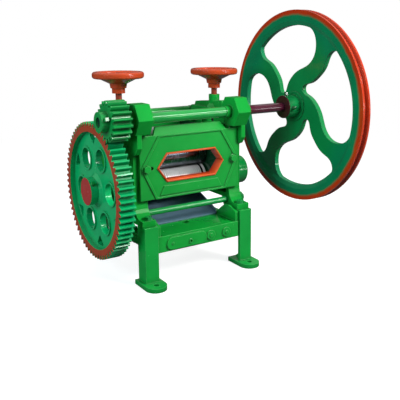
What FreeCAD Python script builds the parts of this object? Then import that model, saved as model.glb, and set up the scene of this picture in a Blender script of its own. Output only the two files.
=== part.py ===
import FreeCAD, Part
import math
import os

os.makedirs("parts", exist_ok=True)

V = FreeCAD.Vector

# Manual sugarcane juicer, in millimetres.
# X runs from the gear side to the flywheel side, Y from the feed side to the discharge side, Z up.
# The origin lies on the floor, at the middle of the four foot bolts.

# Gearing
tooth_module = 5.0
pressure_angle = math.radians(20.0)
backlash = 0.4
root_clearance = 0.25
main_teeth = 68
pinion_teeth = 18
crown_teeth = 14
main_gear_width = 40.0
pinion_width = 47.0
upper_crown_width = 32.0
lower_crown_width = 36.0

# Axes
lower_roller_z = 222.0
drive_axis_forward = 106.0

# Rollers
roller_gap = 1.6
roller_end_gap = 27.0
roller_collar = 7.0
collar_groove = 6.0
collar_groove_depth = 5.0
ridge_pitch = 5.5
ridge_depth = 1.6
lower_journal_radius = 18.0
upper_journal_radius = 14.0
gear_seat_radius = 16.0
crown_seat_radius = 13.0
running_clearance = 0.05
bush_wall = 5.0
bush_flange = 3.0
bush_flange_rise = 4.0

# Side frames
frame_half_width = 158.0
frame_casting_width = 36.0
frame_web = 12.0
frame_flange = 12.0
frame_front = 102.5
frame_rear = 118.0
frame_top = 402.0
frame_arch_half = 70.0
frame_arch_top = 172.0
frame_pad = 14.0
frame_pad_setback = 12.0
front_sweep_reach = 27.0
front_sweep_rise = 42.0
rear_sweep_reach = 12.0
corbel_forward = 26.0
corbel_low = 322.0
lower_boss_radius = 39.0
lower_boss_proud = 2.0
slot_half_width = 30.0
slot_bottom = 262.0
guide_post = 18.0
housing_radius = 43.0
housing_proud = 4.0
housing_boss_radius = 21.0
housing_boss_length = 16.0

# Bearing blocks of the upper roller
block_above = 34.0
block_clearance = 0.3
block_lip = 4.0
block_lip_reach = 8.0
block_inset = 2.0
screw_socket_depth = 14.0

# Caps, pressure screws and hand wheels
cap_height = 27.0
cap_front = 58.0
cap_rear = 88.0
cap_base = 9.0
cap_rib_half_width = 11.0
cap_slant = 6.0
cap_front_rise = 4.0
cap_rear_drop = 8.0
cap_boss_radius = 15.0
cap_boss_height = 17.0
cap_cone_radius = 21.0
cap_cone_height = 10.0
cap_screw_rear = 64.0
pressure_screw_radius = 8.0
pressure_tip_radius = 6.0
screw_line_inset = 14.0
hand_wheel_radius = 65.0
hand_wheel_rim = 17.0
hand_wheel_rim_width = 15.0
hand_wheel_top = 518.0
hand_wheel_web = 7.0
wheel_hub_radius = 22.0
wheel_neck_radius = 16.5
wheel_hub_bottom = 477.0
wheel_neck_bottom = 464.0
wheel_nut_height = 8.0

# Stand
leg_front = 157.0
leg_depth = 40.0
leg_wall = 10.0
stand_top = 150.0
stand_pad = 12.0
stand_bolt_inset = 11.0
rail_low = 95.0
rail_high = 115.0
rail_width = 24.0
foot_thickness = 11.0
foot_gusset_height = 22.0
foot_width = 54.0
foot_reach = 25.0
foot_bolt_reach = 18.0
foot_bolt_radius = 6.5

# Tie rods
tie_rod_radius = 8.0
tie_nut_across = 24.0
tie_nut_height = 11.0
tie_rod_y = 92.0
tie_rod_z = 168.0
tie_rod_overhang = 18.0
top_rail_radius = 12.0
top_rail_y = 100.0
top_rail_drop = 8.0

# Front and rear plates
plate_thickness = 10.0
plate_bottom = 206.0
plate_top = 366.0
plate_edge_gap = 1.0
panel_edge_gap = 2.0
panel_top_inset = 49.0
panel_bottom_inset = 39.0
panel_middle_z = 287.0
panel_bead = 5.0
panel_bead_height = 2.5
lean_height = 20.0
lean_back = 12.0
lean_thickness = 7.0
lean_overlap = 14.0
lean_slant = 14.0
plate_bolt_inset = 6.0
plate_bolt_z = 285.0
window_z = 283.0
window_half_height = 32.5
window_half_long = 93.0
window_half_short = 69.5
bolt_spot_radius = 11.5
spare_hole_offset = 15.0
spare_hole_radius = 4.5
mouth_wall = 5.0
mouth_proud = 3.5
mouth_depth = 29.0
blank_panel_inset = 12.0
blank_panel_low = 214.0
blank_panel_high = 237.0
blank_panel_height = 2.0

# Discharge side
exit_low = 222.0
rear_apron_low = 150.0
rear_apron_gap = 2.0
exit_high = 305.0
chute_sheet = 4.0
chute_start = 36.0
chute_start_z = 240.0
chute_bend = 62.0
chute_end = 185.0
chute_drop = 30.0
chute_side = 16.0
chute_side_gap = 2.0
scraper_sheet = 5.0
scraper_gap = 1.2
scraper_tip_z = 297.0
scraper_top_z = 345.0

# Guide plates beside the rollers
guide_inset = 22.0
guide_sheet = 4.0
guide_clearance = 2.5
guide_lift = 8.0

# Juice deck and sheet
deck_top = 121.0
deck_thickness = 6.0
deck_rear = 50.0
deck_wing_inset = 8.0
deck_side_gap = 2.0
skirt_setback = 5.0
skirt_thickness = 8.0
skirt_height = 41.0
badge_left = 97.0
badge_right = 18.0
badge_height = 32.0
badge_rise = 4.0
stud_radius = 3.0
stud_rise = 2.0
boss_places = (32.0, 80.0)
boss_radius = 12.5
boss_rise = 3.0
boss_stud_radius = 5.0
lug_x = -30.0
lug_z = 97.0
lug_radius = 5.5
lug_bore = 3.0
lug_length = 7.0
gusset_width = 8.0
gusset_front_rise = 25.0
gusset_rise = 37.0
gusset_flat = 100.0
gusset_knee = 78.0
gusset_knee_rise = 22.0
outlet_radius = 10.0
outlet_wall = 3.0
outlet_length = 32.0
outlet_y = 78.0
sheet_thickness = 2.0
sheet_front = 62.0
sheet_side = 14.0
sheet_inset = 3.0

# Main gear
rim_inner_radius = 150.0
gear_web = 12.0
gear_web_recess = 14.0
gear_boss_radius = 35.0
gear_boss_proud = 14.0
web_hole_count = 6
web_hole_circle = 91.0
web_hole_radius = 27.0
web_hole_lip = 4.0
web_hole_lip_height = 4.0
web_hole_turn = 175.0
spandrel_outer = 145.0
spandrel_inner = 116.0
spandrel_half_angle = 9.5
spandrel_round = 4.5

# Pinion
pinion_boss_radius = 25.0
pinion_boss_length = 19.0
pinion_recess = 5.0
pinion_gap = 2.0

# Crown gears
crown_gap = 8.0
shroud_radius = 40.0
shroud_width = 32.0

# Drive shaft and flywheel
drive_shaft_radius = 14.0
drive_end_radius = 12.5
drive_step = 27.0
wheel_radius = 268.0
wheel_standoff = 183.0
wheel_rim_width = 26.0
rim_depth = 30.0
rim_ring_radius = 226.0
groove_depth = 8.0
groove_top_half = 8.0
groove_bottom_half = 2.5
arm_thickness = 14.0
wheel_hub_outer = 32.0
wheel_hub_inner_reach = 38.0
wheel_hub_outer_reach = 8.0
arm_count = 4
wheel_boss_radius = 42.0
wheel_boss_extra = 3.0

# Fasteners
m8_radius = 4.0
m10_radius = 5.0
hole_clearance = 0.3
head_ratio = 1.7
head_height_ratio = 1.3
washer_thickness = 2.5
key_width = 8.0
key_height = 7.0
key_play = 0.05
set_screw_radius = 5.0
set_screw_head = 8.0
set_screw_rise = 9.0

# Values worked out from the sizes above
main_pitch_radius = tooth_module * main_teeth / 2
pinion_pitch_radius = tooth_module * pinion_teeth / 2
crown_distance = tooth_module * crown_teeth
drive_distance = main_pitch_radius + pinion_pitch_radius
drive_y = -drive_axis_forward
drive_z = lower_roller_z + math.sqrt(drive_distance ** 2 - drive_axis_forward ** 2)
upper_roller_z = lower_roller_z + crown_distance
roller_radius = (crown_distance - roller_gap) / 2
frame_inner = frame_half_width - frame_casting_width
web_inner = frame_half_width - frame_web
bush_outer_lower = lower_journal_radius + bush_wall
bush_outer_upper = upper_journal_radius + bush_wall
bush_outer_drive = drive_shaft_radius + bush_wall
housing_outer = frame_half_width + housing_proud
housing_boss_end = housing_outer + housing_boss_length
lower_boss_end = frame_half_width + lower_boss_proud
screw_x = frame_half_width - screw_line_inset
block_top = upper_roller_z + block_above
cap_top = frame_top + cap_height
plate_half_width = web_inner - plate_edge_gap
front_plate_y = -(frame_front + plate_thickness)
rear_plate_y = frame_rear + plate_thickness
pinion_inner_face = housing_boss_end + pinion_gap
gear_outer_face = pinion_inner_face + pinion_width
gear_inner_face = gear_outer_face - main_gear_width
gear_end = gear_outer_face + gear_boss_proud
pinion_end = gear_outer_face + pinion_boss_length
shaft_end = pinion_end - pinion_recess
crown_start = frame_half_width + crown_gap
upper_crown_end = crown_start + upper_crown_width
lower_crown_end = crown_start + lower_crown_width
shroud_end = lower_crown_end + shroud_width
wheel_near_face = frame_half_width + wheel_standoff
wheel_far_face = wheel_near_face + wheel_rim_width
wheel_hub_left = wheel_near_face - wheel_hub_inner_reach
wheel_hub_right = wheel_far_face + wheel_hub_outer_reach
wheel_middle = wheel_near_face + wheel_rim_width / 2
leg_rear_of_front = leg_front - leg_depth
frame_pad_end = leg_front - frame_pad_setback
foot_x = frame_half_width - frame_casting_width / 2
foot_bolt_y = leg_front + foot_bolt_reach
skirt_y = -(leg_front - skirt_setback)
deck_half = frame_inner - deck_side_gap
deck_wing_half = frame_half_width - deck_wing_inset
sheet_half_width = deck_half - gusset_width - sheet_inset
roller_length = 2 * (frame_inner - roller_end_gap)
exit_half_width = roller_length / 2
guide_x = frame_inner - guide_inset
panel_middle_half = plate_half_width - panel_edge_gap
panel_top_half = panel_middle_half - panel_top_inset
panel_bottom_half = panel_middle_half - panel_bottom_inset
lean_low_half = panel_top_half + lean_overlap
lean_high_half = lean_low_half - lean_slant
blank_panel_half = panel_bottom_half - blank_panel_inset
plate_bolt_x = frame_inner + plate_bolt_inset


def save(name, shape):
    shape.exportStep("parts/" + name + ".step")


def join(pieces):
    first = pieces[0]
    return first.fuse(pieces[1:]).removeSplitter()


def group(pieces):
    return Part.makeCompound(pieces)


def mirrored(shape):
    return shape.mirror(V(0, 0, 0), V(1, 0, 0))


def block(x0, x1, y0, y1, z0, z1):
    return Part.makeBox(x1 - x0, y1 - y0, z1 - z0, V(x0, y0, z0))


def rod_x(x0, x1, y, z, radius):
    return Part.makeCylinder(radius, x1 - x0, V(x0, y, z), V(1, 0, 0))


def rod_y(y0, y1, x, z, radius):
    return Part.makeCylinder(radius, y1 - y0, V(x, y0, z), V(0, 1, 0))


def rod_z(z0, z1, x, y, radius):
    return Part.makeCylinder(radius, z1 - z0, V(x, y, z0), V(0, 0, 1))


def tube_x(x0, x1, y, z, outer, inner):
    return rod_x(x0, x1, y, z, outer).cut(rod_x(x0, x1, y, z, inner))


def prism_x(outline, x0, x1):
    points = [V(x0, y, z) for y, z in outline]
    wire = Part.makePolygon(points + points[:1])
    return Part.Face(wire).extrude(V(x1 - x0, 0, 0))


def prism_y(outline, y0, y1):
    points = [V(x, y0, z) for x, z in outline]
    wire = Part.makePolygon(points + points[:1])
    return Part.Face(wire).extrude(V(0, y1 - y0, 0))


def turned_x(outline, y, z):
    """Turn an outline of (x, radius) pairs around the line along X through y, z."""
    points = [V(x, y + radius, z) for x, radius in outline]
    wire = Part.makePolygon(points + points[:1])
    return Part.Face(wire).revolve(V(0, y, z), V(1, 0, 0), 360)


def turned_z(outline, x, y):
    """Turn an outline of (radius, z) pairs around the line along Z through x, y."""
    points = [V(x + radius, y, z) for radius, z in outline]
    wire = Part.makePolygon(points + points[:1])
    return Part.Face(wire).revolve(V(x, y, 0), V(0, 0, 1), 360)


def hexagon(centre, across, side, direction, length):
    """A hexagonal bar: side is a unit vector to one corner, direction its axis."""
    corner = across / math.sqrt(3)
    axis = V(direction)
    points = []
    for step in range(6):
        turn = FreeCAD.Rotation(axis, 60 * step)
        points.append(centre + turn.multVec(V(side)) * corner)
    wire = Part.makePolygon(points + points[:1])
    return Part.Face(wire).extrude(axis * length)


def edges_along_x(shape):
    found = []
    for edge in shape.Edges:
        if len(edge.Vertexes) == 2:
            step = edge.Vertexes[1].Point - edge.Vertexes[0].Point
            if abs(step.y) < 1e-6 and abs(step.z) < 1e-6:
                found.append(edge)
    return found


def bolt(seat, direction, radius, grip, nut):
    """A hexagon bolt whose head stands on seat; direction points from the head along the shank."""
    axis = V(direction)
    side = V(0, 0, 1)
    if abs(axis.z) > 0.5:
        side = V(1, 0, 0)
    across = 2 * radius * head_ratio
    head_height = radius * head_height_ratio
    washer_radius = radius * head_ratio * 1.25
    head_seat = seat - axis * washer_thickness
    head = hexagon(head_seat, across, side, -axis, head_height)
    washer = Part.makeCylinder(washer_radius, washer_thickness, head_seat, axis)
    shank_length = grip + washer_thickness
    if nut:
        shank_length += radius * head_height_ratio + 3
    shank = Part.makeCylinder(radius, shank_length, head_seat, axis)
    pieces = [head, washer, shank]
    if nut:
        pieces.append(hexagon(seat + axis * grip, across, side, axis, radius * head_height_ratio))
    return join(pieces)


def set_screw(x, y, z, boss_radius, seat_radius, turn):
    """A square-headed set screw; turn is its direction around the X line, from the feed side upwards."""
    way = V(0, -math.cos(math.radians(turn)), math.sin(math.radians(turn)))
    foot = V(x, y, z) + way * seat_radius
    shank = Part.makeCylinder(set_screw_radius, boss_radius - seat_radius + 1, foot, way)
    half = set_screw_head / 2
    across = way.cross(V(1, 0, 0))
    centre = V(x, y, z) + way * (boss_radius + 1)
    corners = []
    for a, b in ((-half, -half), (half, -half), (half, half), (-half, half)):
        corners.append(centre + V(1, 0, 0) * a + across * b)
    head = Part.Face(Part.makePolygon(corners + corners[:1])).extrude(way * (set_screw_rise - 1))
    return join([shank, head])


def set_screw_hole(x, y, z, boss_radius, turn):
    way = V(0, -math.cos(math.radians(turn)), math.sin(math.radians(turn)))
    return Part.makeCylinder(set_screw_radius, boss_radius + 1, V(x, y, z), way)


def key_bar(x0, x1, y, z, seat_radius, play):
    """A key along X, on top of a shaft: half its height in the shaft, half in the hub."""
    half = key_width / 2 + play
    low = z + seat_radius - key_height / 2 - play
    return block(x0 - play, x1 + play, y - half, y + half, low, low + key_height + 2 * play)


def involute(angle):
    return math.tan(angle) - angle


def gear_blank(teeth, x0, x1, y, z, phase):
    """A spur gear with arc flanks through three points of the true involute."""
    pitch = tooth_module * teeth / 2
    base = pitch * math.cos(pressure_angle)
    tip = pitch + tooth_module
    root = pitch - tooth_module * (1 + root_clearance)
    flank_start = max(base, root)
    half_at_pitch = (math.pi * tooth_module / 2 - backlash / 2) / (2 * pitch)

    def half_angle(radius):
        if radius <= base:
            return half_at_pitch + involute(pressure_angle)
        return half_at_pitch + involute(pressure_angle) - involute(math.acos(base / radius))

    def point(radius, angle):
        return V(x0, y + radius * math.cos(angle), z + radius * math.sin(angle))

    middle = (flank_start + tip) / 2
    edges = []
    for index in range(teeth):
        centre = phase + 2 * math.pi * index / teeth
        rise = []
        for side in (-1, 1):
            ends = [point(r, centre + side * half_angle(r)) for r in (flank_start, middle, tip)]
            foot = point(root, centre + side * half_angle(flank_start))
            rise.append((foot, ends))
        (foot_in, flank_in), (foot_out, flank_out) = rise
        if flank_start > root:
            edges.append(Part.LineSegment(foot_in, flank_in[0]).toShape())
        edges.append(Part.Arc(flank_in[0], flank_in[1], flank_in[2]).toShape())
        edges.append(Part.Arc(flank_in[2], point(tip, centre), flank_out[2]).toShape())
        edges.append(Part.Arc(flank_out[2], flank_out[1], flank_out[0]).toShape())
        if flank_start > root:
            edges.append(Part.LineSegment(flank_out[0], foot_out).toShape())
        following = centre + 2 * math.pi / teeth
        next_foot = point(root, following - half_angle(flank_start))
        edges.append(Part.Arc(foot_out, point(root, centre + math.pi / teeth), next_foot).toShape())
    wire = Part.Wire(edges)
    return Part.Face(wire).extrude(V(x1 - x0, 0, 0))


def sweep_outline(corner_y, corner_z, reach, rise):
    """Points of the quarter curve along which the frame's edge runs out to its pad."""
    points = []
    steps = 6
    for step in range(steps + 1):
        turn = math.pi / 2 * step / steps
        points.append((corner_y + reach * (1 - math.cos(turn)), corner_z + rise * (1 - math.sin(turn))))
    return points


def frame_outline():
    pad_top = stand_top + frame_pad
    front_sweep = sweep_outline(-frame_front, pad_top, -front_sweep_reach, front_sweep_rise)
    rear_sweep = sweep_outline(frame_rear, pad_top, rear_sweep_reach, rear_sweep_reach)
    housing_low = drive_z - housing_radius * math.sqrt(3) / 2
    points = [(-frame_pad_end, stand_top), (-frame_pad_end, pad_top)]
    points += list(reversed(front_sweep))
    points += [(-frame_front, housing_low + 2), (drive_y + housing_radius / 2, housing_low + 2)]
    points += [(drive_y + housing_radius * 0.8, frame_top), (frame_rear, frame_top)]
    points += rear_sweep
    points += [(frame_pad_end, pad_top), (frame_pad_end, stand_top)]
    points += [(frame_arch_half + 8, stand_top), (frame_arch_half, frame_arch_top)]
    points += [(-frame_arch_half, frame_arch_top), (-frame_arch_half - 8, stand_top)]
    return points


def make_side_frame():
    """The right side frame: a channel casting with its web outside, bosses and guide posts."""
    body = prism_x(frame_outline(), frame_inner, frame_half_width)
    pocket_low = frame_arch_top + frame_flange
    pocket_high = frame_top - frame_flange
    front_pocket = block(frame_inner - 1, web_inner, -frame_front + frame_flange,
                         -slot_half_width - guide_post, pocket_low, pocket_high - guide_post)
    rear_pocket = block(frame_inner - 1, web_inner, slot_half_width + guide_post,
                        frame_rear - frame_flange, pocket_low, pocket_high)
    under_boss = block(frame_inner - 1, web_inner, -slot_half_width - guide_post - 1,
                       slot_half_width + guide_post + 1, pocket_low, slot_bottom - frame_flange)
    rounded = [piece.makeFillet(6.0, edges_along_x(piece)) for piece in (front_pocket, rear_pocket)]
    body = body.cut(rounded + [under_boss])
    hex_points = []
    for step in range(6):
        turn = math.radians(60 * step)
        hex_points.append((drive_y + housing_radius * math.cos(turn),
                           drive_z + housing_radius * math.sin(turn)))
    housing = prism_x(hex_points, frame_inner + 1, housing_outer)
    housing = housing.makeFillet(3.0, edges_along_x(housing))
    housing_low = drive_z - housing_radius * math.sqrt(3) / 2
    corbel = prism_x([(-frame_front + 2, corbel_low - 4), (-frame_front - 14, corbel_low + 2),
                      (-frame_front - corbel_forward, corbel_low + 18),
                      (-frame_front - corbel_forward, housing_low + 6),
                      (-frame_front + 2, housing_low + 6)], web_inner, frame_half_width)
    lower_boss = rod_x(frame_inner, lower_boss_end, 0, lower_roller_z, lower_boss_radius)
    rail_boss = rod_x(frame_inner, frame_half_width, top_rail_y, frame_top - top_rail_drop,
                      top_rail_radius + 1)
    drive_boss = rod_x(housing_outer - 1, housing_boss_end, drive_y, drive_z, housing_boss_radius)
    body = join([body, housing, corbel, lower_boss, rail_boss, drive_boss])
    cuts = [block(frame_inner - 1, housing_outer + 1, -slot_half_width, slot_half_width,
                  slot_bottom, frame_top + 1)]
    cuts.append(rod_x(frame_inner - 1, housing_boss_end + 1, drive_y, drive_z, bush_outer_drive))
    cuts.append(rod_x(frame_inner - 1, lower_boss_end + 1, 0, lower_roller_z, bush_outer_lower))
    for side in (-1, 1):
        cuts.append(rod_x(frame_inner - 1, frame_half_width + 1, side * tie_rod_y, tie_rod_z,
                          tie_rod_radius + hole_clearance))
        cuts.append(rod_z(stand_top - 1, stand_top + frame_pad + 1, stand_bolt_x, side * stand_bolt_y,
                          m10_radius + hole_clearance))
        cuts.append(rod_z(stand_top + frame_pad, stand_top + 2 * frame_pad, stand_bolt_x,
                          side * stand_bolt_y, stand_bolt_inset))
    cuts.append(rod_x(frame_inner - 1, frame_half_width + 1, top_rail_y, frame_top - top_rail_drop,
                      m10_radius + hole_clearance))
    cuts.append(rod_y(-frame_front - 1, -frame_front + frame_flange + 1, plate_bolt_x, plate_bolt_z,
                      m10_radius + hole_clearance))
    cuts.append(rod_y(frame_rear - frame_flange - 1, frame_rear + 1, plate_bolt_x, plate_bolt_z,
                      m10_radius + hole_clearance))
    for y in cap_screw_places:
        cuts.append(rod_z(frame_top - cap_screw_grip, frame_top + 1, screw_x, y,
                          m8_radius + hole_clearance))
    return body.cut(cuts)


def make_stand():
    """The right stand: two angle-section legs on feet, joined by a rail under the juice deck."""
    pieces = []
    for side in (-1, 1):
        front, rear = sorted((side * leg_front, side * leg_rear_of_front))
        web = block(frame_half_width - leg_wall, frame_half_width, front, rear,
                    foot_thickness, stand_top)
        face_y = side * (leg_front - leg_wall)
        low, high = sorted((side * leg_front, face_y))
        face = block(frame_inner, frame_half_width, low, high, foot_thickness, stand_top)
        pad = block(frame_inner, frame_half_width, front, rear, stand_top - stand_pad, stand_top)
        toe_y = side * (foot_bolt_y + foot_reach - foot_width / 2)
        heel_y = side * (leg_rear_of_front - 4)
        low, high = sorted((toe_y, heel_y))
        foot = block(foot_x - foot_width / 2, foot_x + foot_width / 2, low, high, 0, foot_thickness)
        toe = rod_z(0, foot_thickness, foot_x, toe_y, foot_width / 2)
        gusset = prism_x([(face_y, foot_thickness - 1), (face_y, foot_thickness + foot_gusset_height),
                          (heel_y, foot_thickness - 1)], foot_x - 4, foot_x + 4)
        pieces += [web, face, pad, foot, toe, gusset]
    rail_low_x = frame_half_width - 6 - rail_width
    pieces.append(block(rail_low_x, rail_low_x + rail_width, -leg_front + leg_wall, leg_front - leg_wall,
                        rail_low, rail_high))
    body = join(pieces)
    cuts = []
    for side in (-1, 1):
        cuts.append(rod_z(-1, foot_thickness + 1, foot_x, side * foot_bolt_y, foot_bolt_radius))
        cuts.append(rod_z(stand_top - stand_pad - 1, stand_top + 1, stand_bolt_x, side * stand_bolt_y,
                          m10_radius + hole_clearance))
    for y in deck_bolt_places:
        cuts.append(rod_z(rail_low - 1, rail_high + 1, foot_x, y, m8_radius + hole_clearance))
    return body.cut(cuts)


def make_bush(x0, x1, y, z, bore_radius, outer_radius, flange_inside):
    """A bronze bush along X with a flange at its inner end."""
    bush = tube_x(x0, x1, y, z, outer_radius, bore_radius + running_clearance)
    if flange_inside:
        flange = tube_x(x0 - bush_flange, x0, y, z, outer_radius + bush_flange_rise,
                        bore_radius + running_clearance)
        bush = join([flange, bush])
    return bush


def make_bearing_block():
    """The right sliding block of the upper roller, with a lip that runs on the frame's outer face."""
    y = slot_half_width - block_clearance
    low = slot_bottom + block_clearance
    body = block(frame_inner + block_inset, frame_half_width + block_clearance, -y, y, low, block_top)
    lip = block(frame_half_width + block_clearance, frame_half_width + block_clearance + block_lip,
                -y - block_lip_reach, y + block_lip_reach, low, block_top)
    lip = lip.makeFillet(5.0, edges_along_x(lip))
    body = join([body, lip])
    bore = rod_x(frame_inner, frame_half_width + 20, 0, upper_roller_z, bush_outer_upper)
    socket = rod_z(block_top - screw_socket_depth, block_top + 1, screw_x, 0,
                   pressure_tip_radius + running_clearance)
    return body.cut([bore, socket])


def cap_surface(y):
    """Height of the top of a cap's rib, which rises from the rear towards the drive shaft."""
    front, rear = -cap_front + cap_slant, cap_rear - cap_slant
    fall = (y - front) / (rear - front) * (cap_front_rise + cap_rear_drop)
    return cap_top + cap_front_rise - fall


def make_cap():
    """The right cap: a ribbed bar that closes the slot, with the pressure screw's threaded boss."""
    base_top = frame_top + cap_base
    front, rear = -cap_front + cap_slant, cap_rear - cap_slant
    base = block(frame_inner, frame_half_width, -cap_front, cap_rear, frame_top, base_top)
    base = base.makeFillet(2.0, edges_along_x(base))
    rib = prism_x([(-cap_front, base_top - 3), (front, cap_surface(front)), (rear, cap_surface(rear)),
                   (cap_rear, base_top - 3)], screw_x - cap_rib_half_width,
                  screw_x + cap_rib_half_width)
    rib = rib.makeFillet(2.0, edges_along_x(rib))
    cone = Part.makeCone(cap_cone_radius, cap_boss_radius, cap_cone_height, V(screw_x, 0, base_top))
    boss = rod_z(frame_top, cap_top + cap_boss_height, screw_x, 0, cap_boss_radius)
    limit = block(frame_inner, frame_half_width, -cap_front, cap_rear, frame_top,
                  cap_top + 2 * cap_boss_height)
    body = join([base, rib, cone, boss]).common(limit)
    cuts = [rod_z(frame_top - 1, cap_top + cap_boss_height + 1, screw_x, 0,
                  pressure_screw_radius + running_clearance)]
    for y in cap_screw_places:
        top = cap_surface(y)
        cuts.append(rod_z(frame_top - 1, top + 1, screw_x, y, m8_radius + hole_clearance))
        cuts.append(rod_z(top - cap_screw_sink, cap_top + cap_boss_height, screw_x, y,
                          cap_screw_head + 0.5))
    return body.cut(cuts)


def make_cap_screws():
    """Socket-head screws sunk into both caps."""
    screws = []
    for side in (-1, 1):
        for y in cap_screw_places:
            top = cap_surface(y)
            seat = top - cap_screw_sink
            head = rod_z(seat, top - 1, side * screw_x, y, cap_screw_head)
            socket = hexagon(V(side * screw_x, y, top - 5), m8_radius * 1.5, V(1, 0, 0),
                             V(0, 0, 1), 6)
            shank = rod_z(frame_top - cap_screw_grip + 2, seat, side * screw_x, y, m8_radius)
            screws.append(join([head, shank]).cut(socket))
    return group(screws)


def make_pressure_screw():
    """The right pressure screw, from its tip in the bearing block up to the hand wheel."""
    tip_low = block_top - screw_socket_depth + block_clearance
    shoulder = block_top + block_clearance
    tip = rod_z(tip_low, shoulder, screw_x, 0, pressure_tip_radius)
    shank = rod_z(shoulder, wheel_neck_bottom, screw_x, 0, pressure_screw_radius)
    top = hand_wheel_top - 2
    seat = rod_z(wheel_neck_bottom, top, screw_x, 0, pressure_tip_radius)
    return join([tip, shank, seat])


def make_hand_wheel():
    """The right hand wheel: a rounded rim, a dished web and a stepped hub."""
    rim_low = hand_wheel_top - hand_wheel_rim
    inner = hand_wheel_radius - hand_wheel_rim_width
    rim = rod_z(rim_low, hand_wheel_top, screw_x, 0, hand_wheel_radius)
    rim = rim.cut(rod_z(rim_low, hand_wheel_top, screw_x, 0, inner))
    rim = rim.makeFillet(6.5, [e for e in rim.Edges if e.Curve.TypeId == "Part::GeomCircle"])
    web_low = wheel_hub_bottom + 11
    web = turned_z([(wheel_hub_radius - 4, web_low), (wheel_hub_radius, web_low),
                    (inner + 3, rim_low + 2), (inner + 3, rim_low + 2 + hand_wheel_web),
                    (wheel_hub_radius - 4, web_low + hand_wheel_web)], screw_x, 0)
    hub = turned_z([(0, wheel_neck_bottom), (wheel_neck_radius, wheel_neck_bottom),
                    (wheel_neck_radius, wheel_hub_bottom), (wheel_hub_radius - 2, wheel_hub_bottom),
                    (wheel_hub_radius, web_low), (wheel_hub_radius, hand_wheel_top - 14),
                    (0, hand_wheel_top - 14)], screw_x, 0)
    body = join([rim, web, hub])
    bore = rod_z(wheel_neck_bottom - 1, hand_wheel_top, screw_x, 0, pressure_tip_radius)
    return body.cut(bore)


def make_wheel_nut():
    low = hand_wheel_top - 14
    nut = hexagon(V(screw_x, 0, low), 2 * pressure_tip_radius * head_ratio, V(1, 0, 0), V(0, 0, 1),
                  wheel_nut_height)
    return nut.cut(rod_z(low - 1, low + wheel_nut_height + 1, screw_x, 0, pressure_tip_radius))


def panel_outline(inset):
    top = plate_top - inset * 0.5
    bottom = plate_bottom + inset * 0.5
    return [(-panel_top_half + inset * 0.6, top), (panel_top_half - inset * 0.6, top),
            (panel_middle_half - inset, panel_middle_z), (panel_bottom_half - inset * 0.6, bottom),
            (-panel_bottom_half + inset * 0.6, bottom), (-panel_middle_half + inset, panel_middle_z)]


def window_outline(grow):
    long_half = window_half_long + grow * 1.15
    short_half = window_half_short + grow * 0.55
    high = window_z + window_half_height + grow
    low = window_z - window_half_height - grow
    return [(-long_half, window_z), (-short_half, high), (short_half, high),
            (long_half, window_z), (short_half, low), (-short_half, low)]


def make_front_plate():
    """The feed plate: a flat casting with a beaded panel, a leaning top flange and a blank raised field."""
    y = front_plate_y
    plate = block(-plate_half_width, plate_half_width, y, -frame_front, plate_bottom, plate_top)
    bead = prism_y(panel_outline(0), y - panel_bead_height, y + 1)
    bead = bead.cut(prism_y(panel_outline(panel_bead * 1.6), y - panel_bead_height - 1, y + 2))
    blank = prism_y([(-blank_panel_half, blank_panel_low), (blank_panel_half, blank_panel_low),
                     (blank_panel_half - 12, blank_panel_high),
                     (-blank_panel_half + 12, blank_panel_high)], y - blank_panel_height, y + 1)
    lean = prism_x([(y, plate_top - 1), (y + lean_back, plate_top + lean_height),
                    (y + lean_back + lean_thickness, plate_top + lean_height),
                    (y + lean_thickness, plate_top - 1)], -lean_low_half, lean_low_half)
    trim = prism_y([(-lean_low_half, plate_top - 2), (lean_low_half, plate_top - 2),
                    (lean_high_half, plate_top + lean_height + 1),
                    (-lean_high_half, plate_top + lean_height + 1)],
                   y - 1, y + 2 * (lean_back + lean_thickness))
    body = join([plate, bead, blank, lean.common(trim)])
    cuts = [prism_y(window_outline(mouth_wall), y - 10, 0)]
    for side in (-1, 1):
        cuts.append(rod_y(y - 5, y, side * plate_bolt_x, plate_bolt_z, bolt_spot_radius))
        cuts.append(rod_y(y - 5, 0, side * plate_bolt_x, plate_bolt_z, m10_radius + hole_clearance))
    cuts.append(rod_y(y - 5, 0, spare_hole_offset - plate_bolt_x, plate_bolt_z, spare_hole_radius))
    return body.cut(cuts)


def make_feed_mouth():
    """The hexagonal mouth that lines the window and leads the cane to the rollers."""
    start = front_plate_y - mouth_proud
    outer = prism_y(window_outline(mouth_wall), start, start + mouth_depth)
    inner = prism_y(window_outline(0), start - 1, start + mouth_depth + 1)
    mouth = outer.cut(inner)
    front_edges = [e for e in mouth.Edges if abs(e.BoundBox.YMin - start) < 0.01
                   and e.BoundBox.YLength < 0.01]
    return mouth.makeChamfer(1.8, front_edges)


def make_rear_plate():
    """The discharge plate: its exit opening, a stiffening rib and a narrower apron between the frames."""
    plate = block(-plate_half_width, plate_half_width, frame_rear, rear_plate_y, plate_bottom, plate_top)
    apron_half = frame_inner - rear_apron_gap
    apron = block(-apron_half, apron_half, frame_rear, rear_plate_y, rear_apron_low, plate_bottom + 1)
    rib = block(-plate_half_width, plate_half_width, rear_plate_y - 1, rear_plate_y + 6,
                plate_top - 14, plate_top)
    body = join([plate, apron, rib])
    opening = block(-exit_half_width, exit_half_width, frame_rear - 10, rear_plate_y + 10,
                    exit_low, exit_high)
    opening = opening.makeFillet(8.0, [e for e in opening.Edges if e.BoundBox.YLength > 5])
    cuts = [opening]
    for side in (-1, 1):
        cuts.append(rod_y(frame_rear - 1, rear_plate_y + 10, side * plate_bolt_x, plate_bolt_z,
                          m10_radius + hole_clearance))
    return body.cut(cuts)


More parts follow.
